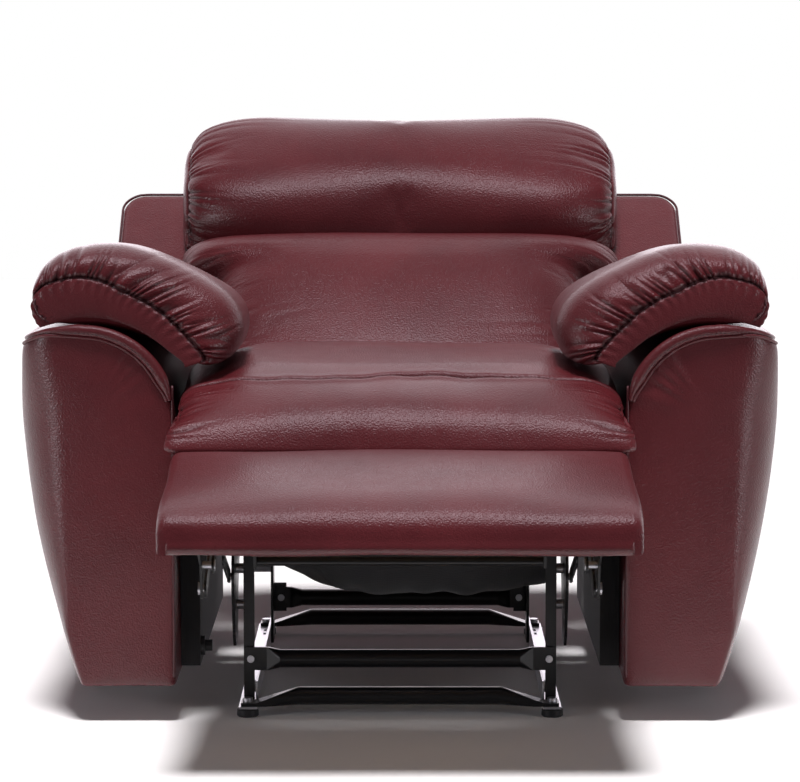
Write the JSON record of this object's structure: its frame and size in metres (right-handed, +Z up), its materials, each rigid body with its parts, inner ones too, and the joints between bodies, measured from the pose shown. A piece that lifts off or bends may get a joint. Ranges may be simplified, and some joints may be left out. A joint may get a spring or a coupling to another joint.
{
  "type": "recliner armchair",
  "caption": "Manual recliner armchair with pillow arms and back, shown fully reclined with its footrest open on a folding steel linkage.",
  "frame": {"origin": "on the floor under the middle of the chair's box, fully reclined with the footrest open", "axes": "+X to the right of someone facing the chair, +Y from the footrest to the back, +Z up"},
  "size_m": [1.02, 1.3837, 0.8114],
  "materials": {
    "oxblood_leather": "semi-gloss, fine pebble grain",
    "black_steel": "gloss black enamel",
    "zinc_steel": "dull zinc plate",
    "spring_steel": "oiled spring wire",
    "plywood": "raw",
    "black_cloth": "non-woven dust cloth",
    "black_plastic": "moulded"
  },
  "bodies": {
    "base": {"floor_rail_left": "zinc_steel", "floor_rail_right": "zinc_steel", "front_feet": "black_plastic", "rear_feet": "black_plastic", "base_tube_front": "black_steel", "base_tube_rear": "black_steel", "torque_tube_front": "black_steel", "torque_tube_rear": "black_steel", "front_stanchions": "black_steel", "rear_stanchions": "black_steel", "side_plate_left": "black_steel", "side_plate_right": "black_steel", "base_bolts": "zinc_steel", "arm_brackets": "black_steel", "arm_liner_left": "black_cloth", "arm_liner_right": "black_cloth", "arm_cover_left": "oxblood_leather", "arm_cover_right": "oxblood_leather", "arm_panels": "plywood", "arm_posts": "plywood", "arm_pad_left": "oxblood_leather", "arm_pad_right": "oxblood_leather", "liner_stub": "black_plastic", "release_bezel": "black_plastic", "release_cable": "black_plastic", "cable_anchor": "zinc_steel", "latch_pin": "zinc_steel", "frame_pins": "zinc_steel"},
    "release_handle": {"release_paddle": "black_plastic"},
    "latch": {"latch_lever": "zinc_steel"},
    "footrest_drive": {"drive_links": "black_steel", "knee_pins": "zinc_steel"},
    "footrest_cross": {"cross_links": "black_steel", "bracket_pins": "zinc_steel"},
    "footrest": {"footrest_brackets": "black_steel", "stay_pins": "zinc_steel", "footrest_board": "plywood", "footrest_pad": "oxblood_leather", "footrest_tie_bar": "black_steel"},
    "footrest_stay": {"stay_links": "black_steel"},
    "footrest_guide": {"guide_links": "black_steel"},
    "seat": {"seat_side_rails": "black_steel", "seat_cross_rails": "plywood", "seat_slide_pins": "zinc_steel", "hinge_plates": "black_steel", "back_hinge_pins": "zinc_steel", "seat_springs": "spring_steel", "seat_cushion": "oxblood_leather", "seat_dust_cover": "black_cloth"},
    "back": {"back_brackets": "black_steel", "back_bolts": "zinc_steel", "back_posts": "plywood", "back_rails": "plywood", "back_shell": "oxblood_leather", "lumbar_cushion": "oxblood_leather", "headrest_cushion": "oxblood_leather"}
  },
  "joints": [
    {"name": "footrest_fold", "type": "hinge", "parent": "base", "child": "footrest_drive", "pos_m": [0, -0.2208, 0.253], "axis": [1, 0, 0], "range_deg": [0, 100]},
    {"name": "cross_link_turn", "type": "hinge", "parent": "footrest_drive", "child": "footrest_cross", "pos_m": [0, -0.4318, 0.274], "axis": [1, 0, 0], "range_deg": [-200, 0]},
    {"name": "footrest_tilt", "type": "hinge", "parent": "footrest_cross", "child": "footrest", "pos_m": [0, -0.5708, 0.228], "axis": [1, 0, 0], "range_deg": [0, 180]},
    {"name": "stay_link_turn", "type": "hinge", "parent": "footrest_drive", "child": "footrest_stay", "pos_m": [0, -0.4348, 0.302], "axis": [1, 0, 0], "range_deg": [-195.6, 0]},
    {"name": "guide_link_turn", "type": "hinge", "parent": "base", "child": "footrest_guide", "pos_m": [0, -0.2828, 0.198], "axis": [1, 0, 0], "range_deg": [0, 125.6]},
    {"name": "seat_slide", "type": "slide", "parent": "base", "child": "seat", "axis": [0, 1, 0], "range_m": [0, 0.06]},
    {"name": "back_recline", "type": "hinge", "parent": "seat", "child": "back", "pos_m": [0, 0.1932, 0.33], "axis": [1, 0, 0], "range_deg": [0, 42]},
    {"name": "release_pull", "type": "hinge", "parent": "base", "child": "release_handle", "pos_m": [-0.496, -0.0148, 0.436], "axis": [0, 1, 0], "range_deg": [0, 35], "stiffness_Nm_per_rad": 0.2, "springref_deg": -17.19},
    {"name": "latch_turn", "type": "hinge", "parent": "base", "child": "latch", "pos_m": [-0.22, -0.0448, 0.276], "axis": [1, 0, 0], "range_deg": [0, 10.5]}
  ],
  "couplings": [
    {"joint": "cross_link_turn", "follows": "footrest_fold", "ratio": -2},
    {"joint": "footrest_tilt", "follows": "footrest_fold", "ratio": 1.8},
    {"joint": "stay_link_turn", "follows": "footrest_fold", "ratio": -1.956},
    {"joint": "guide_link_turn", "follows": "footrest_fold", "ratio": 1.256},
    {"joint": "seat_slide", "follows": "back_recline", "m_per_rad": 0.0818},
    {"joint": "latch_turn", "follows": "release_pull", "ratio": 0.3}
  ]
}
